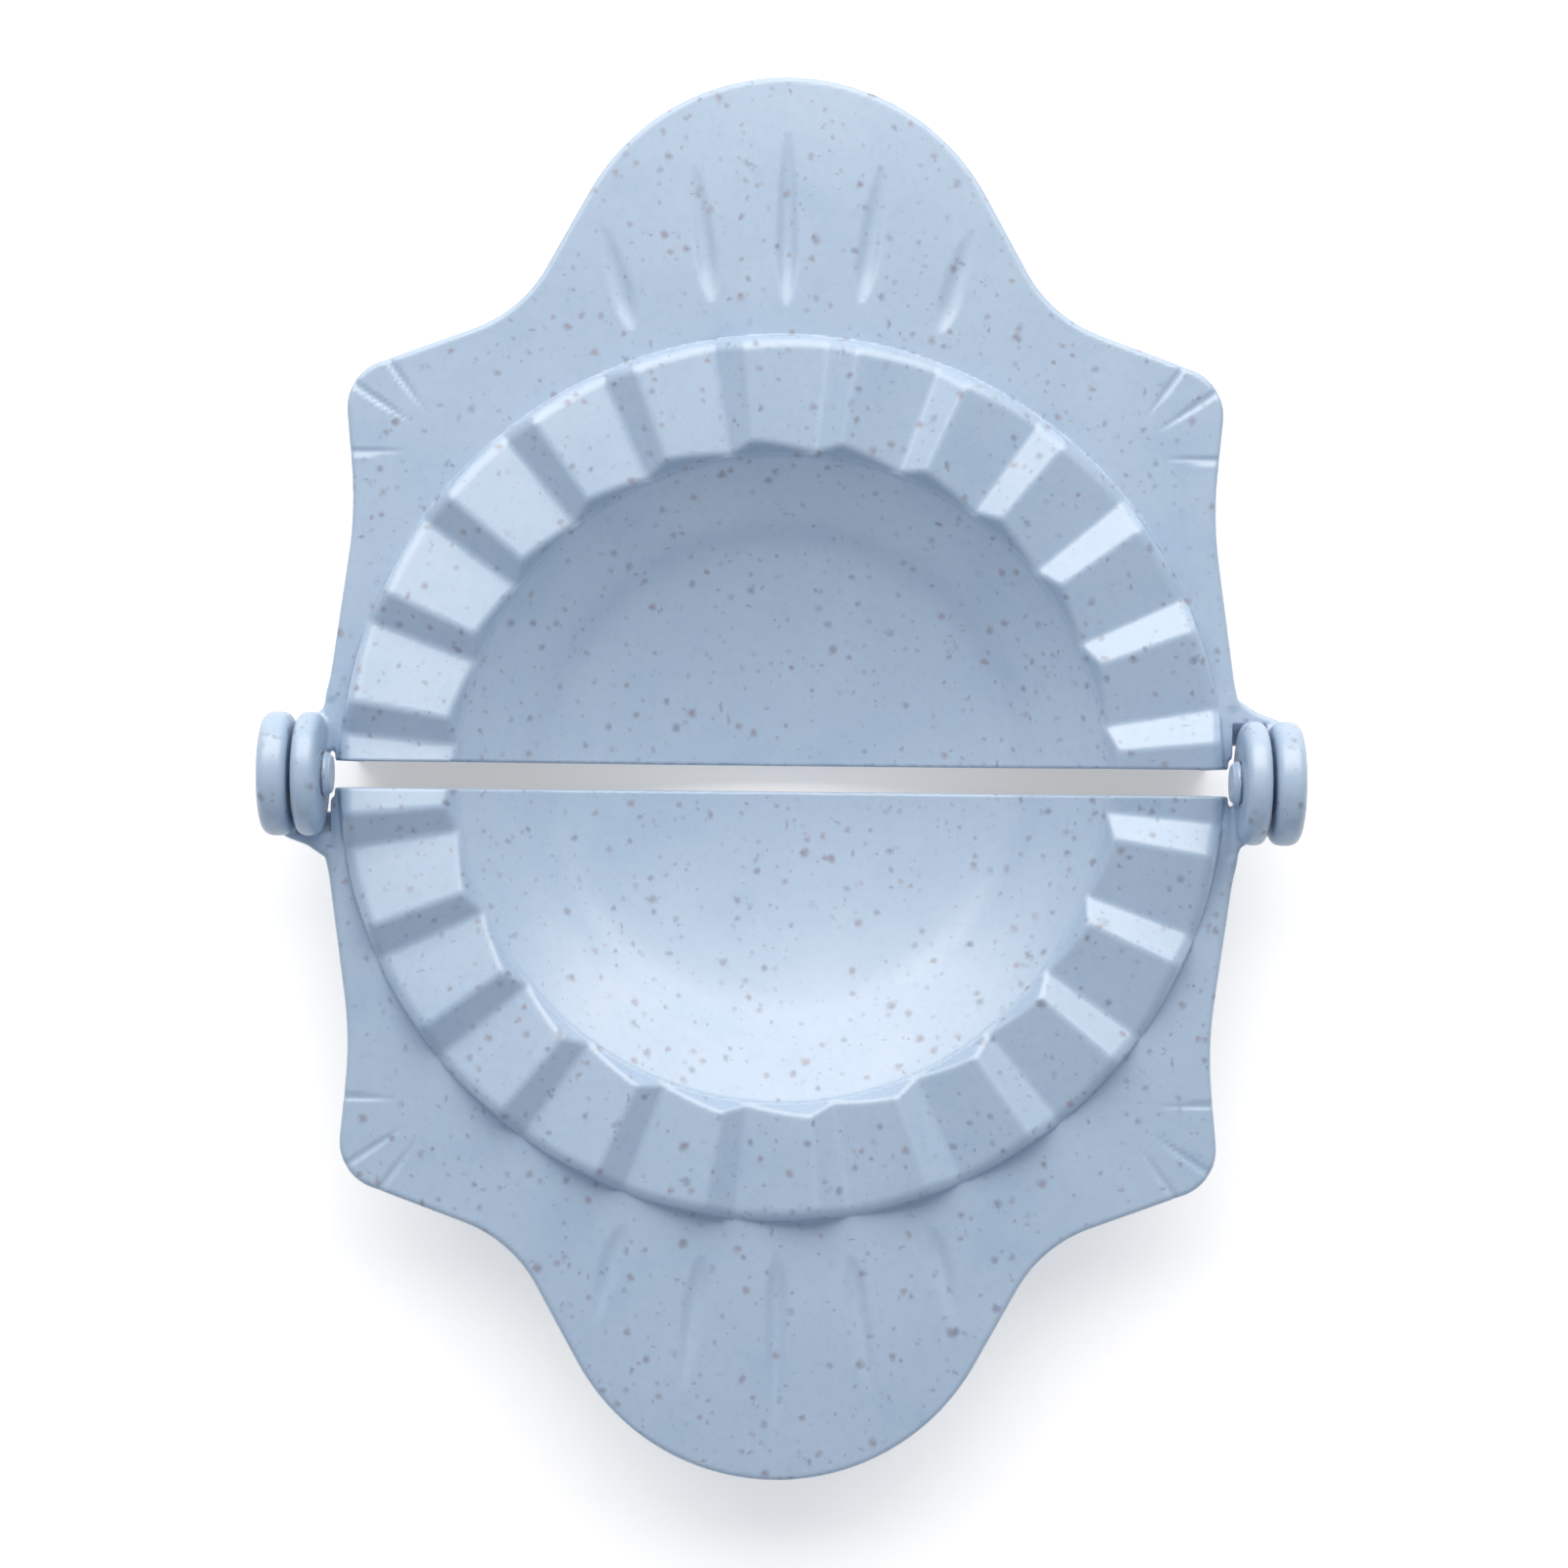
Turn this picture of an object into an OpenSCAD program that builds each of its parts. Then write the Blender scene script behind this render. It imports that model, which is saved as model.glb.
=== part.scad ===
// Hand press that folds and crimps a filled round of dough.
// Two identical mouldings lie open flat and fold together about the X axis on two hinge pins.
// Origin: on the table, under the middle of the hinge. +Y is the rear half, +Z is up.

/* [Plan outline] */
// Distance from the hinge line to the end of each handle
reach = 71.9; // [69:0.1:78]
// Radius of the rounded handle end
handle_r = 23.2; // [20:0.1:25]
// Taper of the handle's sides, in degrees from straight
handle_taper = 28.8; // [25:0.1:33]
// Fillet between each handle side and shoulder
neck_r = 14; // [8:0.5:17]
// Fall of the shoulders, in degrees
shoulder_slope = 20.2; // [16:0.1:24]
// Half width at the corner lobes, before rounding
lobe_x = 45.2; // [43:0.1:49]
// Distance of the corner lobes from the hinge line, before rounding
lobe_y = 40.9; // [39:0.1:44]
// Rounding of the corner lobes
lobe_r = 5; // [3:0.1:7]
// Half width at the waist, before rounding
waist_x = 43.9; // [41:0.1:46]
// Distance of the waist from the hinge line
waist_y = 27; // [22:0.1:31]
// Rounding of the waist
waist_r = 40; // [20:1:45]
// Thickness of the flange
flange_t = 2; // [1.6:0.1:3]
// Depth of the flange's top below the plane where the halves meet
flange_drop = 2.4; // [1.8:0.1:3]

/* [Crimping ring] */
// Inner radius of the ring, where the bowl starts
crimp_in = 33.2; // [30:0.1:36]
// Outer radius of the ring, at the flange
crimp_out = 45.3; // [43:0.1:47]
// Number of pleats on each half
pleats = 12; // [8:1:16]
// Height of a pleat, from valley to crest, at the middle of the ring
pleat_rise = 1.8; // [1:0.1:2.2]
// Share of each pleat's width that its steep face takes
steep_share = 0.28; // [0.2:0.01:0.45]
// Height between the pleats of the two halves when closed
closed_gap = 1.5; // [1:0.1:2.4]
// Slant of the ring's inner wall, in degrees from upright
inner_draft = 32; // [15:1:40]
// Slant of the ring's outer wall, in degrees from upright
outer_draft = 14; // [5:1:25]

/* [Bowl] */
// Depth of the bowl below the plane where the halves meet
bowl_depth = 12.2; // [11:0.1:15]
// Thickness of the bowl's wall
bowl_wall = 1.7; // [1.2:0.1:2.4]
// Depth of the bowl's rim below the pleats' valleys
rim_step = 0.25; // [0.1:0.05:0.6]
// Width of the sloping wall between the rim and the step
terrace_w = 7.2; // [5:0.1:9]
// Depth of the step's upper edge
step_drop = 6.3; // [5.5:0.1:7.5]
// Height of the step
step_h = 1.3; // [0.8:0.1:2]
// Width of the step
step_w = 1.2; // [0.8:0.1:2]

/* [Foot ring] */
// Thickness of the ring wall that the press stands on and that cuts the dough
foot_wall = 1.2; // [0.8:0.1:2]
// Space between the bowl and the table
floor_clear = 1.6; // [0.6:0.1:4]

/* [Hinge] */
// Distance of each half's straight edge from the hinge axis
edge_y = 1.35; // [0.8:0.05:2.5]
// Radius of the ears
ear_r = 6.3; // [5.4:0.1:6.8]
// Thickness of the inner ears
inner_ear_w = 2.6; // [2:0.1:3.5]
// Thickness of the outer ears
outer_ear_w = 3; // [2.4:0.1:4.5]
// Chamfer round the rim of the ears
ear_chamfer = 0.5; // [0.2:0.1:0.8]
// Distance from the crimping ring to the inner ears
ear_offset = 1.2; // [1:0.1:3]
// Space between the two ears, and between ears and flange, along the axis
ear_gap = 0.4; // [0.3:0.05:0.8]
// Space round an ear that turns inside the other half
ear_clear = 0.35; // [0.3:0.05:0.6]
// Distance of the ears' webs from the hinge line
web_y = 2.4; // [2.3:0.1:5.2]
// Depth of the ears' webs below the hinge axis
web_depth = 5.6; // [4.5:0.1:5.8]
// Radius of the hinge pins
pin_r = 2; // [1.5:0.05:2.4]
// Running clearance of the pins in the inner ears, on the radius
pin_run = 0.06; // [0.03:0.01:0.09]
// Interference of the pins in the outer ears, on the radius
pin_press = 0.01; // [0.01:0.01:0.03]
// Radius of the pins' heads
pin_head_r = 3.1; // [2.8:0.1:3.6]
// Thickness of the pins' heads
pin_head_t = 0.9; // [0.6:0.1:1.2]
// Clearance round the heads in their recesses
head_clear = 0.15; // [0.1:0.05:0.3]
// Height of the barbs that hold the pins in
barb_h = 0.3; // [0.2:0.05:0.5]
// Length of the barbed end
barb_l = 0.8; // [0.7:0.1:1.5]
// Clearance between the barb and the inner ear, along the axis
barb_clear = 0.15; // [0.1:0.05:0.25]
// Width of the slot that lets the barbed end spring
slot_w = 0.7; // [0.4:0.1:1]

/* [Grips] */
// Number of flutes across each handle
flutes = 5; // [1:2:5]
// Distance between the flutes
flute_pitch = 8.6; // [7:0.1:9]
// Length of the middle flute
flute_l = 16; // [10:0.5:18]
// Length that each flute loses towards the sides
flute_step = 3.5; // [1:0.5:4]
// Depth of the flutes
flute_depth = 0.5; // [0.2:0.05:0.8]
// Width of the flutes
flute_w = 3.8; // [2:0.1:5]
// Distance of the flutes' middle from the handle's end
flute_inset = 14.6; // [12:0.1:17]
// Depth of the grooves in the corner lobes, where they end
groove_depth = 0.4; // [0.2:0.05:0.6]
// Width of the grooves in the corner lobes, where they end
groove_w = 1.3; // [0.8:0.1:1.6]
// Length of the grooves in the corner lobes
groove_l = 6; // [4:0.1:7]

/* [Hidden] */
$fn = 96;
eps = 0.01;
moulded_blue = "#BCCDE4";
arc_step = 6;

// Levels above the table
hinge_z = floor_clear + bowl_wall + bowl_depth;
flange_top = hinge_z - flange_drop;
flange_low = flange_top - flange_t;
ring_low = flange_top - flange_t / 2;

// Places along the hinge axis, from the middle outwards
inner_ear_x = crimp_out + ear_offset;
outer_ear_x = inner_ear_x + inner_ear_w + ear_gap;
ear_end_x = outer_ear_x + outer_ear_w;
barb_x = inner_ear_x - barb_clear;

// Flange outline: the handle's sides touch the rounded end and meet the shoulders at the neck
hip_x = inner_ear_x + 0.1;
hip_y = ear_r + ear_clear + 0.95;
apex_y = reach - handle_r + handle_r / sin(handle_taper);
neck_y = (lobe_y + tan(shoulder_slope) * (lobe_x - apex_y * tan(handle_taper)))
    / (1 - tan(shoulder_slope) * tan(handle_taper));
neck_x = (apex_y - neck_y) * tan(handle_taper);

// Pleats: each is a wide slope and a narrow steep slope, both planes through the hinge's middle
pitch = 180 / pleats;
steep_half = pitch * steep_share / 2;
broad_half = pitch / 2 - steep_half;
crimp_mid = (crimp_in + crimp_out) / 2;
broad_tilt = atan(pleat_rise / 2 / (crimp_mid * sin(broad_half)));
steep_tilt = atan(pleat_rise / 2 / (crimp_mid * sin(steep_half)));
pleat_level = hinge_z - closed_gap / 2;
rim_z = pleat_level - crimp_in * sin(broad_half) * tan(broad_tilt) - rim_step;

// Grips
groove_fan = [lobe_x - 11.4, lobe_y - 7.9];
groove_angles = [54, 34, 0];
groove_start = 5;
flute_lean = 8;
flute_droop = 1.6;

// Points of an arc that rounds the corner b between a and c
function unit(v) = v / norm(v);
function rounded(a, b, c, r) =
    let (u = unit(a - b), w = unit(c - b))
    let (half = acos(u * w) / 2)
    let (middle = b + unit(u + w) * r / sin(half))
    let (from = b + u * r / tan(half) - middle, to = b + w * r / tan(half) - middle)
    let (a0 = atan2(from[1], from[0]), turn = atan2(to[1], to[0]) - a0)
    let (sweep = turn > 180 ? turn - 360 : turn < -180 ? turn + 360 : turn)
    let (steps = ceil(abs(sweep) / arc_step))
    [for (i = [0 : steps]) middle + r * [cos(a0 + sweep * i / steps), sin(a0 + sweep * i / steps)]];

// The corners of the flange on one side, from the hinge to the handle, each with its rounding
function side_corners(s) = [
    [s * (crimp_out + ear_gap), edge_y, 0],
    [s * (crimp_out + ear_gap), hip_y, 0],
    [s * hip_x, hip_y, 0],
    [s * waist_x, waist_y, waist_r],
    [s * lobe_x, lobe_y, lobe_r],
    [s * neck_x, neck_y, neck_r]
];

function reversed(list) = [for (i = [len(list) - 1 : -1 : 0]) list[i]];

function outline() =
    let (corners = concat(side_corners(1), [[0, apex_y, handle_r]], reversed(side_corners(-1))))
    let (n = len(corners))
    [for (i = [0 : n - 1])
        let (b = corners[i], a = corners[(i + n - 1) % n], c = corners[(i + 1) % n])
        each b[2] == 0 ? [[b[0], b[1]]]
            : rounded([a[0], a[1]], [b[0], b[1]], [c[0], c[1]], b[2])];

// Inner face of the bowl, from its bottom to its rim: a shallow dish, a step and a hollow wall
function dish(steps = 8) =
    let (r = crimp_in - terrace_w - step_w, rise = bowl_depth - step_drop - step_h)
    let (ball = (r * r + rise * rise) / (2 * rise), reach_angle = asin(r / ball))
    [for (i = [0 : steps]) ball * [sin(reach_angle * i / steps), 1 - cos(reach_angle * i / steps)]
        + [0, hinge_z - bowl_depth]];

function hollow_wall(steps = 5, sag = 0.2) =
    let (low = [crimp_in - terrace_w, hinge_z - step_drop], high = [crimp_in, rim_z])
    let (across = unit([high[1] - low[1], low[0] - high[0]]))
    [for (i = [0 : steps]) low + (high - low) * i / steps + across * sag * sin(180 * i / steps)];

function bowl_face() = concat(dish(), hollow_wall());

// The same face moved outwards by the wall's thickness
function bowl_back() =
    let (face = bowl_face(), n = len(face))
    [for (i = [0 : n - 1])
        let (along = unit(face[min(i + 1, n - 1)] - face[max(i - 1, 0)]))
        i == 0 ? face[0] - [0, bowl_wall] : face[i] + bowl_wall * [along[1], -along[0]]];

// Everything on the far side of the hinge line
module behind_edge(size = 200) {
    translate([-size / 2, edge_y, -size / 2]) cube([size, size, size]);
}

module flange_plate() {
    translate([0, 0, flange_low])
        linear_extrude(flange_t)
            difference() {
                polygon(outline());
                circle(r = crimp_in);
            }
}

// A shallow groove with pointed ends, cut by the rim of a wheel that stands on edge
module flute(length) {
    wheel_r = (pow(length / 2, 2) + pow(flute_depth, 2)) / (2 * flute_depth);
    rim_r = (pow(flute_w / 2, 2) + pow(flute_depth, 2)) / (2 * flute_depth);
    intersection() {
        translate([0, 0, wheel_r - flute_depth])
            rotate([0, 90, 0])
                rotate_extrude()
                    intersection() {
                        translate([wheel_r - rim_r, 0])
                            circle(r = rim_r);
                        translate([wheel_r - 3 * flute_depth, -flute_w])
                            square([4 * flute_depth, 2 * flute_w]);
                    }
        translate([-flute_w, -length, -flange_t]) cube([2 * flute_w, 2 * length, flange_t + eps]);
    }
}

module handle_flutes() {
    for (i = [-(flutes - 1) / 2 : (flutes - 1) / 2])
        translate([i * flute_pitch, reach - flute_inset - flute_droop * i * i, flange_top])
            rotate([0, 0, -flute_lean * i])
                flute(flute_l - flute_step * abs(i));
}

// Grooves that fan out over the corner lobes and deepen towards their edge
module lobe_grooves() {
    groove_r = (pow(groove_w / 2, 2) + pow(groove_depth, 2)) / (2 * groove_depth);
    for (s = [-1, 1])
        for (angle = groove_angles)
            translate([s * groove_fan[0], groove_fan[1], flange_top + groove_r])
                rotate([0, 0, 90 - s * (90 - angle)])
                    translate([groove_start, 0, 0])
                        rotate([0, 90 + atan(groove_depth / groove_l), 0])
                            cylinder(h = 2 * groove_l, r = groove_r);
}

// Everything below a plane through the hinge's middle, tilted about the radial line at the angle turn
module below_plane(turn, tilt, size = 2 * crimp_out) {
    translate([0, 0, pleat_level])
        rotate([tilt, 0, turn])
            translate([0, -size, -size]) cube([size, 2 * size, size]);
}

// One ridge of the ring, a little wider than its pleat so that it runs under its neighbours
module pleat(overlap = 1) {
    near = crimp_in - 3;
    far = crimp_out + 3;
    first = [cos(broad_half + overlap), -sin(broad_half + overlap)];
    last = [cos(pitch - broad_half + overlap), sin(pitch - broad_half + overlap)];
    intersection() {
        translate([0, 0, ring_low])
            linear_extrude(pleat_level + pleat_rise - ring_low)
                polygon([near * first, far * first, far * last, near * last]);
        below_plane(0, broad_tilt);
        below_plane(pitch / 2, -steep_tilt);
    }
}

// The pleats run out through the ring's slanted outer wall, which meets the flange at crimp_out
module pleated_band() {
    top = pleat_level + pleat_rise;
    intersection() {
        for (i = [0 : pleats])
            rotate([0, 0, i * pitch]) pleat();
        translate([0, 0, ring_low])
            cylinder(h = top - ring_low, r1 = crimp_out + (flange_top - ring_low) * tan(outer_draft),
                r2 = crimp_out + (flange_top - top) * tan(outer_draft));
    }
}

module crimp_ring() {
    draft_h = pleat_level + pleat_rise - rim_z;
    difference() {
        pleated_band();
        translate([0, 0, flange_low - 1])
            cylinder(h = rim_z - flange_low + 1 + eps, r = crimp_in);
        translate([0, 0, rim_z])
            cylinder(h = draft_h, r1 = crimp_in, r2 = crimp_in + draft_h * tan(inner_draft));
    }
}

module bowl() {
    rotate_extrude() polygon(concat(bowl_face(), reversed(bowl_back())));
}

module foot_ring() {
    linear_extrude(ring_low)
        difference() {
            circle(r = crimp_out);
            circle(r = crimp_out - foot_wall);
        }
}

// Disc along the hinge axis with a chamfered rim
module ear(start_x, width) {
    translate([start_x, 0, hinge_z])
        rotate([90, 0, 90])
            rotate_extrude()
                polygon([[0, 0], [ear_r - ear_chamfer, 0], [ear_r, ear_chamfer],
                    [ear_r, width - ear_chamfer], [ear_r - ear_chamfer, width], [0, width]]);
}

// Web in plan, from the ring to an ear that ends at ear_x: it follows the ear's rim and runs into the flange
module web(ear_x) {
    root_y = hip_y + 2.6;
    difference() {
        translate([0, 0, hinge_z - web_depth])
            linear_extrude(web_depth - flange_drop)
                polygon([[crimp_in, web_y], [ear_x, web_y], [ear_x - 0.6, ear_r - 0.5],
                    [ear_x - 2, ear_r + 0.3], [(ear_x + hip_x) / 2 - 1, ear_r + 1], [hip_x, hip_y + 1],
                    [hip_x - 0.3, root_y], [crimp_in, root_y]]);
        cylinder(h = hinge_z, r = crimp_out - foot_wall / 2);
    }
}

module along_axis(from_x, to_x, r) {
    translate([from_x, 0, hinge_z])
        rotate([0, 90, 0])
            cylinder(h = to_x - from_x, r = r);
}

// One moulding, with its outer ear at +X and its inner ear at -X
module half() {
    difference() {
        union() {
            intersection() {
                behind_edge();
                union() {
                    flange_plate();
                    crimp_ring();
                    bowl();
                    foot_ring();
                }
            }
            difference() {
                web(ear_end_x);
                along_axis(inner_ear_x - ear_gap, outer_ear_x, ear_r + ear_clear);
            }
            mirror([1, 0, 0]) web(inner_ear_x + inner_ear_w);
            ear(outer_ear_x, outer_ear_w);
            mirror([1, 0, 0]) ear(inner_ear_x, inner_ear_w);
        }
        handle_flutes();
        lobe_grooves();
        along_axis(outer_ear_x - eps, ear_end_x + eps, pin_r - pin_press);
        along_axis(ear_end_x - pin_head_t, ear_end_x + 1, pin_head_r + head_clear);
        mirror([1, 0, 0])
            along_axis(inner_ear_x - eps, outer_ear_x, pin_r + pin_run);
    }
}

// Pin along +X: head in the outer ear, shaft through both ears, slotted and barbed end behind the inner ear
module hinge_pin() {
    tip_x = barb_x - barb_l;
    translate([0, 0, hinge_z])
        difference() {
            rotate([90, 0, 90])
                rotate_extrude()
                    polygon([[0, tip_x], [pin_r - 0.2, tip_x], [pin_r + barb_h, barb_x - 0.3],
                        [pin_r + barb_h, barb_x], [pin_r, barb_x], [pin_r, ear_end_x - pin_head_t],
                        [pin_head_r, ear_end_x - pin_head_t], [pin_head_r, ear_end_x - 0.2],
                        [pin_head_r - 0.2, ear_end_x], [0, ear_end_x]]);
            translate([tip_x - 1, -pin_head_r, -slot_w / 2])
                cube([1 + barb_l + barb_clear + inner_ear_w / 2, 2 * pin_head_r, slot_w]);
        }
}

module rear_half() {
    color(moulded_blue) half();
}

module front_half() {
    color(moulded_blue) rotate([0, 0, 180]) half();
}

module right_hinge_pin() {
    color(moulded_blue) hinge_pin();
}

module left_hinge_pin() {
    color(moulded_blue) rotate([0, 0, 180]) hinge_pin();
}

front_half();
rear_half();
left_hinge_pin();
right_hinge_pin();
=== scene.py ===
"""Looks for the empanada press: two moulded halves and two hinge pins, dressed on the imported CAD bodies."""

import math

import bpy
import numpy as np
from mathutils import Matrix, Vector


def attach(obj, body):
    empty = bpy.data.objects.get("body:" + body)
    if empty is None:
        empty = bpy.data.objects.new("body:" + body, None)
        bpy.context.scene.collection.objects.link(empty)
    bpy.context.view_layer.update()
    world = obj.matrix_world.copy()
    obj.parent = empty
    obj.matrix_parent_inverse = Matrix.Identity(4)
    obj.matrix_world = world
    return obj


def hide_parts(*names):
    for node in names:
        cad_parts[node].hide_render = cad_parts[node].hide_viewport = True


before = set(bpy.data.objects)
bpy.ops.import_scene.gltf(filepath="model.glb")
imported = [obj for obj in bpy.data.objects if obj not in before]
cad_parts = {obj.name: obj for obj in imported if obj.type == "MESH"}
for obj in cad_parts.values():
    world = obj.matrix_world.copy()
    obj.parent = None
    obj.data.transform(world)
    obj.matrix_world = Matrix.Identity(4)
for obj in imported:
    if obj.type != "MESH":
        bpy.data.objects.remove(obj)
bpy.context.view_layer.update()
scene = bpy.context.scene
MM = 0.001

# ---------------------------------------------------------------- sizes, in millimetres, as in the part's source
REACH, HANDLE_R, HANDLE_TAPER, NECK_R, SHOULDER = 71.9, 23.2, 28.8, 14.0, 20.2
LOBE_X, LOBE_Y, LOBE_R = 45.2, 40.9, 5.0
WAIST_X, WAIST_Y, WAIST_R = 43.9, 27.0, 40.0
CRIMP_IN, CRIMP_OUT, CLOSED_GAP, INNER_DRAFT, OUTER_DRAFT = 33.2, 45.3, 1.5, 32.0, 14.0
PLEATS, PLEAT_RISE, STEEP_SHARE, RIM_STEP = 12, 1.8, 0.28, 0.25
BOWL_DEPTH, BOWL_WALL, BOWL_SAG = 12.2, 1.7, 0.2
TERRACE_W, STEP_DROP, STEP_H, STEP_W = 7.2, 6.3, 1.3, 1.2
FOOT_WALL, HINGE_Z, FLANGE_DROP, FLANGE_T = 1.2, 15.5, 2.4, 2.0
EDGE_Y, EAR_R, EAR_GAP, EAR_CLEAR = 1.35, 6.3, 0.4, 0.35
EAR_OFFSET, INNER_EAR_W, OUTER_EAR_W = 1.2, 2.6, 3.0
HIP_OUT, HIP_CLEAR = 0.1, 0.95
WEB_Y, WEB_DEPTH, WEB_ROOT = 2.4, 5.6, 2.6
PIN_R, PIN_PRESS, BORE_R, HEAD_R, HEAD_T, RECESS_R = 2.0, 0.01, 2.06, 3.1, 0.9, 3.25
BARB_CLEAR, BARB_H, BARB_L, BARB_FLAT, BARB_TIP, SLOT_W = 0.15, 0.3, 0.8, 0.3, 0.2, 0.7
FLUTE_PITCH, FLUTE_INSET, FLUTE_DROOP, FLUTE_LEAN, FLUTE_L, FLUTE_STEP = 8.6, 14.6, 1.6, 8, 16, 3.5
FAN_X, FAN_Y, GROOVE_ANGLES, GROOVE_START, GROOVE_L = 11.4, 7.9, (54, 34, 0), 5, 6

FLANGE_TOP, FLANGE_LOW = HINGE_Z - FLANGE_DROP, HINGE_Z - FLANGE_DROP - FLANGE_T
INNER_EAR_X = CRIMP_OUT + EAR_OFFSET
OUTER_EAR_X = INNER_EAR_X + INNER_EAR_W + EAR_GAP
EAR_END_X = OUTER_EAR_X + OUTER_EAR_W
BARB_X = INNER_EAR_X - BARB_CLEAR
HIP_X, HIP_Y = INNER_EAR_X + HIP_OUT, EAR_R + EAR_CLEAR + HIP_CLEAR
TAPER_T, SHOULDER_T = math.tan(math.radians(HANDLE_TAPER)), math.tan(math.radians(SHOULDER))
APEX_Y = REACH - HANDLE_R + HANDLE_R / math.sin(math.radians(HANDLE_TAPER))
NECK_Y = (LOBE_Y + SHOULDER_T * (LOBE_X - APEX_Y * TAPER_T)) / (1 - SHOULDER_T * TAPER_T)
NECK_X = (APEX_Y - NECK_Y) * TAPER_T
PITCH = 180 / PLEATS
BROAD_HALF = PITCH * (1 - STEEP_SHARE) / 2
MID_R = (CRIMP_IN + CRIMP_OUT) / 2
BROAD_TILT = math.atan(PLEAT_RISE / 2 / (MID_R * math.sin(math.radians(BROAD_HALF))))
STEEP_TILT = math.atan(PLEAT_RISE / 2 / (MID_R * math.sin(math.radians(PITCH * STEEP_SHARE / 2))))
CREST_RISE = math.sin(math.radians(BROAD_HALF)) * math.tan(BROAD_TILT)
PLEAT_LEVEL = HINGE_Z - CLOSED_GAP / 2
RIM_Z = PLEAT_LEVEL - CRIMP_IN * CREST_RISE - RIM_STEP

# ---------------------------------------------------------------- forms of the dressed model alone, in mm
HANDLE_FALL, FALL_FROM, FALL_OVER = 0.55, 50, 22  # fall of the handle's tip, y where it starts, length it grows over
FLUTE_MORE = 1  # what a flute's half length is longer than in the source
FLUTE_DEEP = 0.068  # depth of the deepest point, for each millimetre of half length
FLUTE_WIDE = 1.5  # half width at the deepest point
FLUTE_LOW = 0.35  # distance of the deepest point below the middle, as a share of the half length
FLUTE_END = 0.35  # share of the width left at the ends
FLUTE_FADE = 1.2  # power with which the depth fades towards the ends
GROOVE_DEEP, GROOVE_THIN, GROOVE_FLARE = 0.17, 0.3, 0.35  # depth, half width at the start, what it grows by
GROOVE_WIDEN, GROOVE_SINK = 1.4, 1.5  # how fast the grooves' width and depth grow along their length
BEVEL_PLEAT, BEVEL_WALL, BEVEL_CUT = 0.717, 0.546, 0.40  # share of the pleats and of the outer wall, depth of cut
RING_SUNK = 0.4  # hidden lower end of the ring, above the flange's underside
FOOT_SUNK, WEB_SUNK = 0.6, 0.25  # hidden tops of the foot ring and the webs, below the flange's top
BORE_FROM, SHAFT_SUNK = 45.5, 0.2  # distance in x where the bores start, end of the shaft inside the head's face

# widths over which two faces run into each other
SHARP, CRISP, FINE, BOWL_EASE = 0.05, 0.12, 0.2, 2.2
FLANGE_EDGE, FLANGE_HOLE, CREST, VALLEY, RIM, LIP = 0.65, 0.3, 0.34, 0.3, 0.25, 0.45
FOOT_EDGE, FOOT_JOIN, SPLIT_EDGE = 0.55, 0.35, 0.3
EAR_EDGE, EAR_JOIN, WEB_JOIN, WEB_EDGE, BORE_EDGE = 1.3, 0.5, 0.4, 0.6, 0.25
HEAD_EDGE, SHAFT_EDGE, BARB_EDGE = 0.45, 0.3, 0.15


# ---------------------------------------------------------------- fields: negative inside, distances in millimetres
def smin(a, b, k):
    """The smaller of two fields, with the corner between them rounded over a width of k."""
    h = np.maximum(k - np.abs(a - b), 0) / k
    return np.minimum(a, b) - h * h * k * 0.25


def smax(a, b, k):
    return -smin(-a, -b, k)


def unit(v):
    return v / np.linalg.norm(v)


def rounded(a, b, c, radius, step=1.5):
    """Points of the arc that rounds corner b between a and c."""
    u, w = unit(a - b), unit(c - b)
    half = math.acos(float(u @ w)) / 2
    middle = b + unit(u + w) * radius / math.sin(half)
    start, stop = b + u * radius / math.tan(half) - middle, b + w * radius / math.tan(half) - middle
    a0 = math.atan2(start[1], start[0])
    sweep = (math.atan2(stop[1], stop[0]) - a0 + math.pi) % (2 * math.pi) - math.pi
    n = max(2, math.ceil(abs(math.degrees(sweep)) / step))
    turn = a0 + sweep * np.arange(n + 1) / n
    return [middle + radius * np.array([math.cos(t), math.sin(t)]) for t in turn]


def outline():
    """Plan of a half, with its straight side run on below the split so that only the split trims it."""
    below_edge = EDGE_Y - 3
    side = [(CRIMP_OUT + EAR_GAP, below_edge, 0), (CRIMP_OUT + EAR_GAP, HIP_Y, 0), (HIP_X, HIP_Y, 0),
            (WAIST_X, WAIST_Y, WAIST_R), (LOBE_X, LOBE_Y, LOBE_R), (NECK_X, NECK_Y, NECK_R)]
    corners = side + [(0, APEX_Y, HANDLE_R)] + [(-x, y, r) for x, y, r in reversed(side)]
    at = [np.array(c[:2], float) for c in corners]
    points = []
    for i, c in enumerate(corners):
        if c[2]:
            points += rounded(at[i - 1], at[i], at[(i + 1) % len(corners)], c[2])
        else:
            points.append(at[i])
    return np.array(points)


def softened(line, reach):
    """The same line with its corners eased over a distance of about 'reach'; its two ends stay."""
    way = np.concatenate([[0], np.cumsum(np.linalg.norm(np.diff(line, axis=0), axis=1))])
    at = np.linspace(0, way[-1], 160)
    even = np.stack([np.interp(at, way, line[:, k]) for k in (0, 1)], 1)
    width = np.minimum(reach, np.minimum(at, way[-1] - at) / 2 + 1e-3)
    weight = np.exp(-((at[:, None] - at) / width[:, None]) ** 2)
    return weight @ even / weight.sum(axis=1)[:, None]


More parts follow.
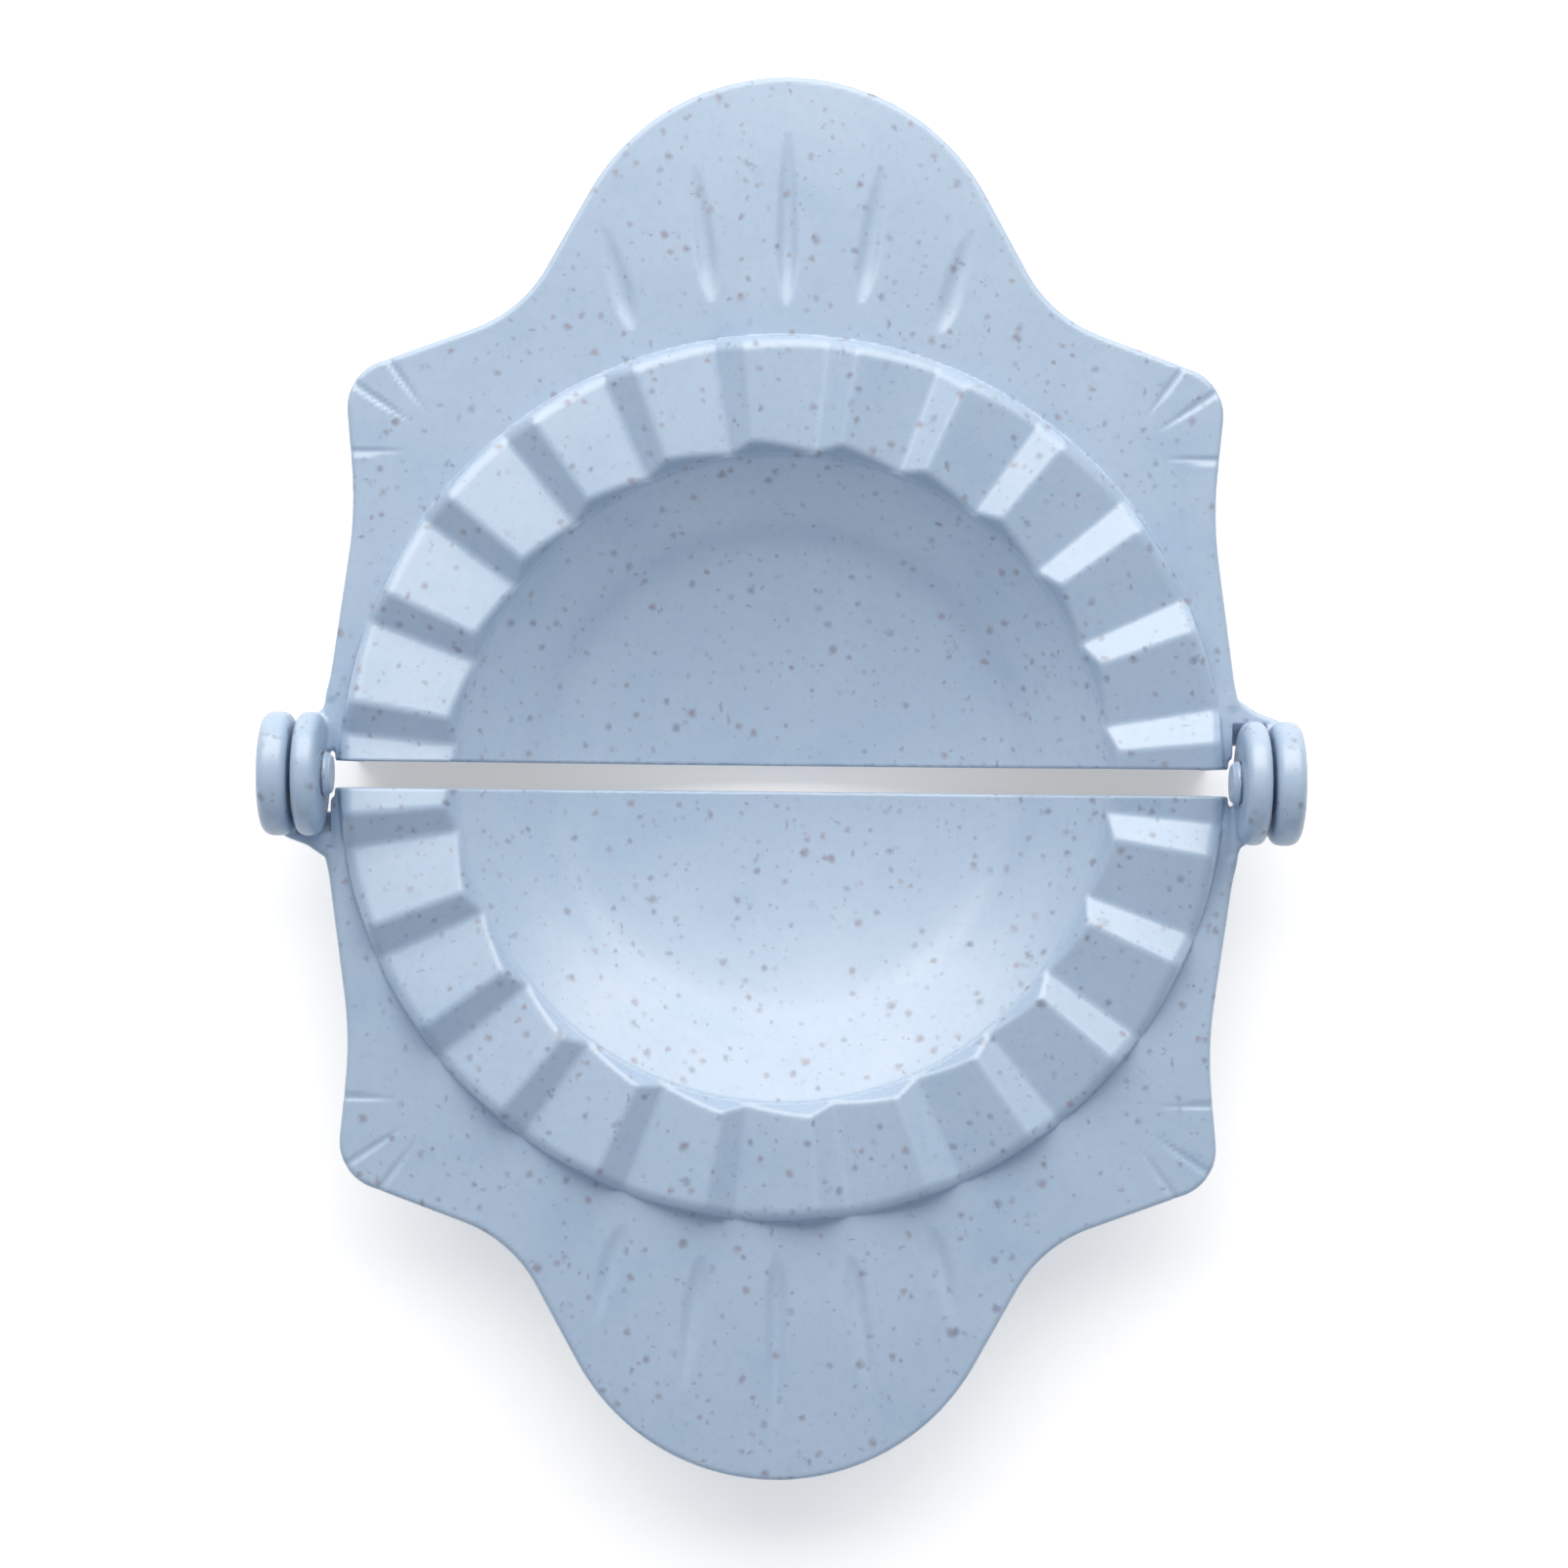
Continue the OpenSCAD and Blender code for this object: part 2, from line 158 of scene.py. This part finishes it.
def bowl_profile():
    """Closed outline of the bowl's wall in radius and height."""
    r, rise = CRIMP_IN - TERRACE_W - STEP_W, BOWL_DEPTH - STEP_DROP - STEP_H
    ball = (r * r + rise * rise) / (2 * rise)
    t = np.linspace(0, math.asin(r / ball), 60)
    dish = np.stack([ball * np.sin(t), ball * (1 - np.cos(t)) + HINGE_Z - BOWL_DEPTH], 1)
    low, high = np.array([CRIMP_IN - TERRACE_W, HINGE_Z - STEP_DROP]), np.array([CRIMP_IN, RIM_Z])
    across = unit(np.array([high[1] - low[1], low[0] - high[0]]))
    s = np.linspace(0, 1, 30)[:, None]
    wall = low + (high - low) * s + across * BOWL_SAG * np.sin(np.pi * s)
    face = softened(np.concatenate([dish, wall]), BOWL_EASE)
    along = np.gradient(face, axis=0)
    along /= np.linalg.norm(along, axis=1)[:, None]
    back = face + BOWL_WALL * np.stack([along[:, 1], -along[:, 0]], 1)
    back[0] = face[0] - [0, BOWL_WALL]
    left = np.array([[-3.0, back[0, 1]], [-3.0, face[0, 1]]])
    return np.concatenate([left, face, back[::-1]])


def polygon_distance(points, x, y):
    """Signed distance from every (x, y) to a closed polygon, negative inside."""
    best = np.full(x.shape, 1e9)
    inside = np.zeros(x.shape, bool)
    for (ax, ay), (bx, by) in zip(points, np.roll(points, -1, axis=0)):
        ex, ey = bx - ax, by - ay
        if ex * ex + ey * ey < 1e-12:
            continue
        px, py = x - ax, y - ay
        t = np.clip((px * ex + py * ey) / (ex * ex + ey * ey), 0, 1)
        best = np.minimum(best, (px - t * ex) ** 2 + (py - t * ey) ** 2)
        if ey:
            inside ^= ((ay > y) != (by > y)) & (px < ex * py / ey)
    return np.where(inside, -1, 1) * np.sqrt(best)


class Chart:
    """A smooth function of two coordinates, kept on a grid and read with cubic B-spline weights."""

    def __init__(self, points, lo, hi, step):
        self.lo, self.step = np.array(lo, float), step
        n = [int(math.ceil((h - l) / step)) + 1 for l, h in zip(lo, hi)]
        a, b = np.meshgrid(lo[0] + step * np.arange(n[0]), lo[1] + step * np.arange(n[1]), indexing="ij")
        self.values = polygon_distance(points, a, b)

    @staticmethod
    def weights(t):
        return ((1 - t) ** 3 / 6, (3 * t ** 3 - 6 * t * t + 4) / 6,
                (-3 * t ** 3 + 3 * t * t + 3 * t + 1) / 6, t ** 3 / 6)

    def __call__(self, a, b):
        v = self.values
        u, w = (a - self.lo[0]) / self.step, (b - self.lo[1]) / self.step
        u, w = np.clip(u, 1, v.shape[0] - 3.001), np.clip(w, 1, v.shape[1] - 3.001)
        i, j = u.astype(np.int32), w.astype(np.int32)
        s, t = u - i, w - j
        ws, wt = self.weights(s), self.weights(t)
        flat, row = v.ravel(), v.shape[1]
        base = (i - 1) * row + j - 1
        total = 0
        for p in range(4):
            line = sum(wt[q] * flat[base + p * row + q] for q in range(4))
            total = total + ws[p] * line
        return total


def web_polygon(ear_x):
    """Plan of the web that carries an ear whose outer side is at ear_x."""
    root_y = HIP_Y + WEB_ROOT
    return np.array([[CRIMP_IN, WEB_Y], [ear_x, WEB_Y], [ear_x - 0.6, EAR_R - 0.5], [ear_x - 2, EAR_R + 0.3],
                     [(ear_x + HIP_X) / 2 - 1, EAR_R + 1], [HIP_X, HIP_Y + 1], [HIP_X - 1.2, root_y + 1.5],
                     [CRIMP_IN, root_y + 1.5]])


PLAN = Chart(outline(), (-58, -12), (58, 78), 0.25)
BOWL = Chart(bowl_profile(), (-2, -3), (40, 19), 0.15)
OUTER_WEB = Chart(web_polygon(EAR_END_X), (30, -10), (58, 16), 0.2)
INNER_WEB = Chart(web_polygon(INNER_EAR_X + INNER_EAR_W), (30, -10), (58, 16), 0.2)

# each flute's middle, lean and length, and each groove's fan point, side and angle
FLUTES = [(i * FLUTE_PITCH, REACH - FLUTE_INSET - FLUTE_DROOP * i * i,
           FLUTE_LEAN * i, FLUTE_L - FLUTE_STEP * abs(i)) for i in range(-2, 3)]
GROOVES = [(s * (LOBE_X - FAN_X), LOBE_Y - FAN_Y, s, a) for s in (-1, 1) for a in GROOVE_ANGLES]


def engraving(x, y):
    """Depth of the thumb flutes, which are deepest towards the ring, and of the lobes' grooves."""
    depth = np.zeros_like(x + y)
    for cx, cy, lean, length in FLUTES:
        c, s = math.cos(math.radians(lean)), math.sin(math.radians(lean))
        across, along = (x - cx) * c - (y - cy) * s, (x - cx) * s + (y - cy) * c
        half = length / 2 + FLUTE_MORE
        way = along / half + FLUTE_LOW
        full = np.clip(1 - (way / np.where(way > 0, 1 + FLUTE_LOW, 1 - FLUTE_LOW)) ** 2, 0, 1)
        edge = np.abs(across) / (FLUTE_WIDE * (FLUTE_END + (1 - FLUTE_END) * full))
        bowed = np.cos(np.pi / 2 * np.clip(edge, 0, 1)) ** 2
        depth = np.maximum(depth, FLUTE_DEEP * half * full ** FLUTE_FADE * bowed)
    for fx, fy, side, angle in GROOVES:
        c, s = math.cos(math.radians(angle)) * side, math.sin(math.radians(angle))
        along, across = (x - fx) * c + (y - fy) * s, (x - fx) * s - (y - fy) * c
        way = np.maximum((along - GROOVE_START) / GROOVE_L, 0)
        width = GROOVE_THIN + GROOVE_FLARE * np.clip(way * GROOVE_WIDEN, 0, 1)
        bowed = np.cos(np.pi / 2 * np.clip(np.abs(across) / width, 0, 1)) ** 2
        depth = np.maximum(depth, GROOVE_DEEP * np.clip(way * GROOVE_SINK, 0, 1) * bowed)
    return depth


def plan_fields(x, y):
    """What the half's field needs of each (x, y), worked out once for all heights."""
    return {"r": np.hypot(x, y), "out": PLAN(x, y), "cut": engraving(x, y),
            "outer": OUTER_WEB(x, y), "inner": INNER_WEB(-x, y), "turn": np.degrees(np.arctan2(y, x)),
            "fall": HANDLE_FALL * np.maximum((y - FALL_FROM) / FALL_OVER, 0) ** 2}


def half_field(x, y, z, f):
    """One moulded half, in the rear one's place."""
    r, turn = f["r"], f["turn"]
    # flange, with its handle bent down a little towards the tip
    zf = z + f["fall"]
    slab = np.maximum(zf - FLANGE_TOP + f["cut"], FLANGE_LOW - zf)
    flange = smax(smax(f["out"], slab, FLANGE_EDGE), CRIMP_IN - r, FLANGE_HOLE)
    # pleats: in each, a broad slope and a narrow steep one, both planes through the hinge's middle
    ridge = np.floor((turn + BROAD_HALF) / PITCH)
    local = np.radians(turn - ridge * PITCH)
    pleats = None
    up = z - PLEAT_LEVEL
    for j in (-1, 0, 1):
        b = local - math.radians(j * PITCH)
        broad = up * math.cos(BROAD_TILT) - r * np.sin(b) * math.sin(BROAD_TILT)
        steep = up * math.cos(STEEP_TILT) + r * np.sin(b - math.radians(PITCH / 2)) * math.sin(STEEP_TILT)
        one = smax(broad, steep, CREST)
        pleats = one if pleats is None else smin(pleats, one, VALLEY)
    lean = math.tan(math.radians(INNER_DRAFT))
    inner = (CRIMP_IN + lean * np.maximum(z - RIM_Z, 0) - r) / math.hypot(1, lean)
    slant = math.radians(OUTER_DRAFT)
    edge = (r - CRIMP_OUT) * math.cos(slant) + (z - FLANGE_TOP) * math.sin(slant)
    bevel = BEVEL_PLEAT * pleats + BEVEL_WALL * edge + BEVEL_CUT
    ring = smax(smax(smax(pleats, bevel, RIM), edge, RIM), inner, LIP)
    ring = np.maximum(ring, FLANGE_LOW + RING_SUNK - z)
    foot = smax(r - CRIMP_OUT, CRIMP_OUT - FOOT_WALL - r, FINE)
    foot = smax(foot, np.maximum(z - FLANGE_TOP + FOOT_SUNK, -z), FOOT_EDGE)
    body = smin(ring, flange, CRISP)
    body = smin(smin(body, foot, FOOT_JOIN), BOWL(r, z), FOOT_JOIN)
    body = smax(body, EDGE_Y - y, SPLIT_EDGE)
    # ears, webs and bores
    ax = np.hypot(y, z - HINGE_Z)
    outer_ear = smax(ax - EAR_R, np.maximum(OUTER_EAR_X - x, x - EAR_END_X), EAR_EDGE)
    inner_ear = smax(ax - EAR_R, np.maximum(-INNER_EAR_X - INNER_EAR_W - x, x + INNER_EAR_X), EAR_EDGE)
    level = np.maximum(HINGE_Z - WEB_DEPTH - z, z - FLANGE_TOP + WEB_SUNK)
    clear_ring = CRIMP_OUT - FOOT_WALL / 2 - r
    outer_web = smax(smax(f["outer"], level, WEB_EDGE), clear_ring, SHARP)
    inner_web = smax(smax(f["inner"], level, WEB_EDGE), clear_ring, SHARP)
    # the room in which the other half's inner ear turns, from the hinge outwards and along it
    round_it, beside_it = ax - EAR_R - EAR_CLEAR, np.maximum(INNER_EAR_X - EAR_GAP - x, x - OUTER_EAR_X)
    outer_web = smax(outer_web, -smax(round_it, beside_it, SHARP), FINE)
    body = smin(body, smin(outer_web, outer_ear, EAR_JOIN), WEB_JOIN)
    body = smin(body, smin(inner_web, inner_ear, EAR_JOIN), WEB_JOIN)
    body = np.maximum(body, -np.maximum(round_it, beside_it))
    bore = np.maximum(ax - np.where(x > 0, PIN_R - PIN_PRESS, BORE_R), BORE_FROM - np.abs(x))
    recess = np.maximum(ax - RECESS_R, EAR_END_X - HEAD_T - x)
    return smax(smax(body, -bore, BORE_EDGE), -recess, BORE_EDGE)


def pin_field(x, y, z, f):
    """One hinge pin, in the right one's place."""
    zz = z - HINGE_Z
    ax = np.hypot(y, zz)
    tip_x = BARB_X - BARB_L
    shaft = smax(ax - PIN_R, np.maximum(tip_x - x, x - EAR_END_X + SHAFT_SUNK), SHAFT_EDGE)
    head = smax(ax - HEAD_R, np.maximum(EAR_END_X - HEAD_T - x, x - EAR_END_X), HEAD_EDGE)
    rise = (x - BARB_X + BARB_L) * (BARB_H + BARB_TIP) / (BARB_L - BARB_FLAT)
    slope = (ax - PIN_R + BARB_TIP - rise) / math.sqrt(2)
    barb = np.maximum(smax(np.maximum(slope, tip_x - x), ax - PIN_R - BARB_H, BARB_EDGE), x - BARB_X)
    pin = smin(smin(shaft, head, CRISP), barb, SHARP)
    slot = np.maximum(np.abs(zz) - SLOT_W / 2, x - BARB_X - BARB_CLEAR - INNER_EAR_W / 2)
    return smax(pin, -slot, CRISP)


# ---------------------------------------------------------------- meshes from the fields
def net(field, plan, lo, hi, step):
    """Closed quad mesh of a field's zero surface: one corner in each cell that the surface crosses."""
    n = [int(math.ceil((h - l) / step)) + 1 for l, h in zip(lo, hi)]
    xs, ys, zs = (l + step * np.arange(k) for l, k in zip(lo, n))
    x, y = np.meshgrid(xs, ys, indexing="ij")
    f = plan(x, y)
    values = np.stack([field(x, y, z, f) for z in zs], axis=2)
    inside = values < 0
    corners = [inside[i:n[0] - 1 + i, j:n[1] - 1 + j, k:n[2] - 1 + k]
               for i in (0, 1) for j in (0, 1) for k in (0, 1)]
    count = sum(c.astype(np.int8) for c in corners)
    active = (count > 0) & (count < 8)
    cells = np.argwhere(active)
    index = np.full(active.shape, -1, np.int64)
    index[tuple(cells.T)] = np.arange(len(cells))
    total, hits = np.zeros((len(cells), 3)), np.zeros(len(cells))
    for axis in range(3):
        for j in (0, 1):
            for k in (0, 1):
                a = np.zeros(3, int)
                a[(axis + 1) % 3], a[(axis + 2) % 3] = j, k
                b = a.copy()
                b[axis] = 1
                va, vb = values[tuple((cells + a).T)], values[tuple((cells + b).T)]
                hit = (va < 0) != (vb < 0)
                t = np.where(hit, va / np.where(hit, va - vb, 1), 0)
                point = cells + a + t[:, None] * (b - a)
                total += point * hit[:, None]
                hits += hit
    verts = np.array(lo) + step * total / hits[:, None]
    quads = []
    for axis in range(3):
        u, v = (axis + 1) % 3, (axis + 2) % 3
        here = [slice(0, -1)] * 3
        after = [slice(0, -1)] * 3
        here[axis], after[axis] = slice(0, n[axis] - 1), slice(1, n[axis])
        for s in (u, v):
            here[s] = after[s] = slice(1, n[s] - 1)
        a, b = inside[tuple(here)], inside[tuple(after)]
        at = np.argwhere(a != b)
        falling = a[tuple(at.T)]
        at[:, u] += 1
        at[:, v] += 1
        ring = []
        for du, dv in ((-1, -1), (0, -1), (0, 0), (-1, 0)):
            c = at.copy()
            c[:, u] += du
            c[:, v] += dv
            ring.append(index[tuple(c.T)])
        ring = np.stack(ring, axis=1)
        ring[~falling] = ring[~falling][:, ::-1]
        quads.append(ring)
    return verts, np.concatenate(quads)


def gradient(field, plan, p, h=0.03):
    """The field's slope at the points p, by central differences."""
    g = np.empty_like(p)
    for axis in range(3):
        d = np.zeros(3)
        d[axis] = h
        a, b = (p + d).T, (p - d).T
        g[:, axis] = (field(*a, plan(*a[:2])) - field(*b, plan(*b[:2]))) / (2 * h)
    return g


def settle(field, plan, p, rounds=3, most=0.3, least_slope=0.05):
    """Moves points onto the zero surface and returns them with its outward normals."""
    for _ in range(rounds):
        g = gradient(field, plan, p)
        value = field(*p.T, plan(*p.T[:2]))
        move = g * (value / np.maximum((g * g).sum(1), least_slope))[:, None]
        length = np.linalg.norm(move, axis=1)[:, None]
        p = p - move * np.minimum(1, most / np.maximum(length, 1e-9))
    g = gradient(field, plan, p)
    return p, g / np.linalg.norm(g, axis=1)[:, None]


def mesh_object(name, verts, faces, normals, turned):
    """Blender object of a mesh in millimetres, turned half a turn about Z for the opposite piece."""
    if turned:
        verts, normals = verts * [-1, -1, 1], normals * [-1, -1, 1]
    mesh = bpy.data.meshes.new(name)
    mesh.from_pydata((verts * MM).tolist(), [], faces.tolist())
    mesh.polygons.foreach_set("use_smooth", np.ones(len(faces), bool))
    mesh.normals_split_custom_set_from_vertices(normals.tolist())
    mesh.update()
    obj = bpy.data.objects.new(name, mesh)
    scene.collection.objects.link(obj)
    return obj


def no_plan(x, y):
    return None


HALF_BOX, HALF_STEP = ((-51.0, -7.2, -0.9), (54.2, 72.8, 22.6)), 0.38
PIN_BOX, PIN_STEP = ((45.0, -3.5, HINGE_Z - 3.5), (53.8, 3.5, HINGE_Z + 3.5)), 0.16
half_verts, half_faces = net(half_field, plan_fields, *HALF_BOX, HALF_STEP)
half_verts, half_normals = settle(half_field, plan_fields, half_verts)
pin_verts, pin_faces = net(pin_field, no_plan, *PIN_BOX, PIN_STEP)
pin_verts, pin_normals = settle(pin_field, no_plan, pin_verts)


def dress(name, verts, faces, normals, turned, node, body, slot):
    """Puts a piece in its CAD node's place, riding on the node's body."""
    obj = mesh_object(name, verts, faces, normals, turned)
    obj.data.materials.append(MATERIAL[slot])
    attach(obj, body)
    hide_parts(node)


# ---------------------------------------------------------------- materials
def srgb(r, g, b):
    """Linear colour of an 8-bit sRGB one."""
    def lin(c):
        c /= 255
        return c / 12.92 if c <= 0.04045 else ((c + 0.055) / 1.055) ** 2.4
    return (lin(r), lin(g), lin(b), 1)


class Nodes:
    """A short way to write a node tree."""

    def __init__(self, name):
        self.material = bpy.data.materials.new(name)
        self.material.use_nodes = True
        self.tree = self.material.node_tree
        self.tree.nodes.clear()

    def add(self, kind, inputs=None, **settings):
        n = self.tree.nodes.new(kind)
        for k, v in settings.items():
            setattr(n, k, v)
        for k, v in (inputs or {}).items():
            if isinstance(v, bpy.types.NodeSocket):
                self.tree.links.new(v, n.inputs[k])
            else:
                n.inputs[k].default_value = v
        return n

    def math(self, operation, a, b=0.0, c=0.0, clamp=False):
        return self.add("ShaderNodeMath", {0: a, 1: b, 2: c}, operation=operation, use_clamp=clamp).outputs[0]

    def mix(self, factor, a, b):
        n = self.add("ShaderNodeMix", {0: factor, 6: a, 7: b}, data_type="RGBA")
        return n.outputs[2]

    def ramp(self, value, stops, smooth=False):
        n = self.add("ShaderNodeValToRGB", {0: value})
        n.color_ramp.interpolation = "EASE" if smooth else "LINEAR"
        while len(n.color_ramp.elements) < len(stops):
            n.color_ramp.elements.new(0.5)
        for e, (at, colour) in zip(n.color_ramp.elements, stops):
            e.position, e.color = at, colour
        return n.outputs[0]


PALE_BLUE, LIGHTER, GRAIN = srgb(169, 191, 216), srgb(175, 195, 219), srgb(134, 156, 186)
BRAN = [(0.0, srgb(94, 94, 118)), (0.35, srgb(116, 96, 110)), (0.7, srgb(138, 112, 116)),
        (1.0, srgb(100, 110, 132))]
# layers of specks: cell size in mm, largest radius in cells, share of cells that hold a speck, softness,
# strength, stretch, turn
SPECKS = [(3.0, 0.28, 0.52, 0.90, 0.60, (1, 1, 1), 0.0),
          (1.55, 0.44, 0.50, 0.92, 0.54, (1, 1, 1), 0.7),
          (1.0, 0.40, 0.45, 0.92, 0.38, (1, 1, 1), 1.9),
          (2.0, 0.14, 0.42, 0.75, 0.48, (1, 0.34, 1), 0.6),
          (1.8, 0.14, 0.40, 0.75, 0.44, (0.34, 1, 1), 1.1)]


def specked_plastic(name, base, shade, tint, roughness):
    """Fibre-filled plastic: a cloudy ground with bran specks of several sizes sunk into it."""
    n = Nodes(name)
    place = n.add("ShaderNodeTexCoord").outputs["Object"]
    wobble = n.add("ShaderNodeTexNoise", {"Vector": place, "Scale": 1400.0, "Detail": 2.0}).outputs["Color"]
    shift = n.add("ShaderNodeVectorMath", {0: wobble, 1: (0.5, 0.5, 0.5)}, operation="SUBTRACT").outputs[0]
    small = n.add("ShaderNodeVectorMath", {0: shift, 3: 0.0007}, operation="SCALE").outputs[0]
    bent = n.add("ShaderNodeVectorMath", {0: place, 1: small}, operation="ADD").outputs[0]
    cloud = n.add("ShaderNodeTexNoise", {"Vector": place, "Scale": 70.0, "Detail": 4.0, "Roughness": 0.6})
    ground = n.ramp(cloud.outputs[0], [(0.3, shade), (0.5, base), (0.72, tint)], smooth=True)
    grain = n.add("ShaderNodeTexNoise", {"Vector": place, "Scale": 1100.0, "Detail": 3.0, "Roughness": 0.7})
    dark = n.math("MULTIPLY", n.math("SUBTRACT", grain.outputs[0], 0.45, clamp=True), 0.55)
    colour, cover = n.mix(dark, ground, GRAIN), None
    for k, (cell, size, share, soft, strength, stretch, turn) in enumerate(SPECKS):
        m = n.add("ShaderNodeMapping", {"Vector": bent, "Location": (0.013 * k, 0.007 * k, 0.011 * k),
                                        "Rotation": (0.3 * k, 0.2 * k, turn), "Scale": stretch}).outputs[0]
        v = n.add("ShaderNodeTexVoronoi", {"Vector": m, "Scale": 1000.0 / cell, "Randomness": 1.0})
        chance = n.add("ShaderNodeSeparateColor", {0: v.outputs["Color"]}).outputs
        radius = n.math("MULTIPLY_ADD", chance[0], size * 0.65, size * 0.35)
        inner = n.math("MULTIPLY", radius, 1 - soft)
        falling = {"Value": v.outputs["Distance"], "From Min": inner, "From Max": radius,
                   "To Min": 1.0, "To Max": 0.0}
        fade = n.add("ShaderNodeMapRange", falling, interpolation_type="SMOOTHSTEP").outputs[0]
        held = n.math("LESS_THAN", chance[1], share)
        mask = n.math("MULTIPLY", n.math("MULTIPLY", fade, held), strength)
        colour = n.mix(mask, colour, n.ramp(chance[2], BRAN))
        cover = mask if cover is None else n.math("MAXIMUM", cover, mask)
    fine = n.add("ShaderNodeTexNoise", {"Vector": place, "Scale": 2600.0, "Detail": 2.0}).outputs[0]
    rough = n.math("MULTIPLY_ADD", fine, 0.10, roughness - 0.05)
    rough = n.math("MULTIPLY_ADD", cover, 0.12, rough)
    wave = n.add("ShaderNodeTexNoise", {"Vector": place, "Scale": 210.0, "Detail": 2.0}).outputs[0]
    height = n.math("MULTIPLY_ADD", fine, 0.22, wave)
    bump = n.add("ShaderNodeBump", {"Height": height, "Strength": 0.25, "Distance": 0.00008}).outputs[0]
    shader = n.add("ShaderNodeBsdfPrincipled", {"Base Color": colour, "Roughness": rough, "Normal": bump,
                                                "IOR": 1.5, "Specular IOR Level": 1.0})
    n.add("ShaderNodeOutputMaterial", {"Surface": shader.outputs[0]})
    return n.material


MATERIAL = {
    "moulded_halves": specked_plastic("moulded_plastic", base=PALE_BLUE, shade=srgb(162, 186, 213),
                                      tint=LIGHTER, roughness=0.34),
    "hinge_pins": specked_plastic("pin_plastic", base=PALE_BLUE, shade=srgb(163, 187, 213),
                                  tint=LIGHTER, roughness=0.30),
}

HALF_MESH, PIN_MESH = (half_verts, half_faces, half_normals), (pin_verts, pin_faces, pin_normals)
for side, turned in (("rear", False), ("front", True)):
    dress(side + "_moulding", *HALF_MESH, turned, side + "_half", side, "moulded_halves")
for hand, turned, body in (("right", False, "rear"), ("left", True, "front")):
    dress(hand + "_pin", *PIN_MESH, turned, hand + "_hinge_pin", body, "hinge_pins")


# ---------------------------------------------------------------- floor, light and camera
FLOOR_HALF, FLOOR_GLOW = 1.5, 0.42


def floor_material():
    """Pale matt floor that looks white and still holds the object's shadow."""
    n = Nodes("floor_white")
    place = n.add("ShaderNodeTexCoord").outputs["Object"]
    haze = n.add("ShaderNodeTexNoise", {"Vector": place, "Scale": 9.0, "Detail": 3.0}).outputs[0]
    tone = n.ramp(haze, [(0.3, (0.82, 0.82, 0.82, 1)), (0.7, (0.84, 0.84, 0.84, 1))])
    matte = n.add("ShaderNodeBsdfDiffuse", {"Color": tone}).outputs[0]
    path = n.add("ShaderNodeLightPath").outputs
    seen = n.math("MAXIMUM", path["Is Camera Ray"], path["Is Glossy Ray"])
    seen = n.math("MAXIMUM", seen, path["Is Transmission Ray"])
    strength = n.math("MULTIPLY", seen, FLOOR_GLOW)
    glow = n.add("ShaderNodeEmission", {"Color": (1, 1, 1, 1), "Strength": strength}).outputs[0]
    both = n.add("ShaderNodeAddShader", {0: matte, 1: glow}).outputs[0]
    n.add("ShaderNodeOutputMaterial", {"Surface": both})
    return n.material


square = [(x * FLOOR_HALF, y * FLOOR_HALF, 0) for x, y in ((-1, -1), (1, -1), (1, 1), (-1, 1))]
floor_mesh = bpy.data.meshes.new("floor")
floor_mesh.from_pydata(square, [], [(0, 1, 2, 3)])
floor = bpy.data.objects.new("floor", floor_mesh)
scene.collection.objects.link(floor)
floor.data.materials.append(floor_material())


def softbox(name, at, size, power, colour, aim=(0, 0, 0.01)):
    """Area lamp in metres and watts, aimed at the middle of the press."""
    lamp = bpy.data.lights.new(name, "AREA")
    lamp.color = colour
    lamp.shape, lamp.size, lamp.size_y, lamp.energy = "RECTANGLE", size[0], size[1], power
    obj = bpy.data.objects.new(name, lamp)
    scene.collection.objects.link(obj)
    obj.location = at
    obj.rotation_euler = (Vector(aim) - Vector(at)).to_track_quat("-Z", "Y").to_euler()


softbox("key_rear", at=(-0.01, 0.47, 0.38), size=(1.12, 0.56), power=6.3, colour=(1.0, 0.93, 0.84))
softbox("fill_front", at=(0.0, -0.60, 0.45), size=(0.8, 0.4), power=0.3, colour=(0.94, 0.97, 1.0))

world = bpy.data.worlds.new("studio")
scene.world = world
world.use_nodes = True
background = world.node_tree.nodes["Background"]
background.inputs["Color"].default_value = (0.85, 0.91, 1.0, 1)
background.inputs["Strength"].default_value = 0.40

# the photo's frame: its width and the hinge's middle in pixels, its roll in degrees, the lens and the sensor in
# mm, and the camera's height above the hinge in metres
PHOTO_PX, HINGE_PX, ROLL, LENS, SENSOR, HEIGHT = 1601, (798.0, 795.0), 0.6, 72.45, 36.0, 0.320
camera = bpy.data.objects.new("camera", bpy.data.cameras.new("camera"))
scene.collection.objects.link(camera)
scene.camera = camera
camera.data.lens, camera.data.sensor_width = LENS, SENSOR
per_px = HEIGHT * SENSOR / LENS / PHOTO_PX
middle = Vector(((PHOTO_PX / 2 - HINGE_PX[0]) * per_px, (HINGE_PX[1] - PHOTO_PX / 2) * per_px))
off = Matrix.Rotation(math.radians(ROLL), 2) @ middle
camera.location = (off.x, off.y, HINGE_Z * MM + HEIGHT)
camera.rotation_euler = (0, 0, math.radians(ROLL))
scene.view_settings.view_transform = "Standard"
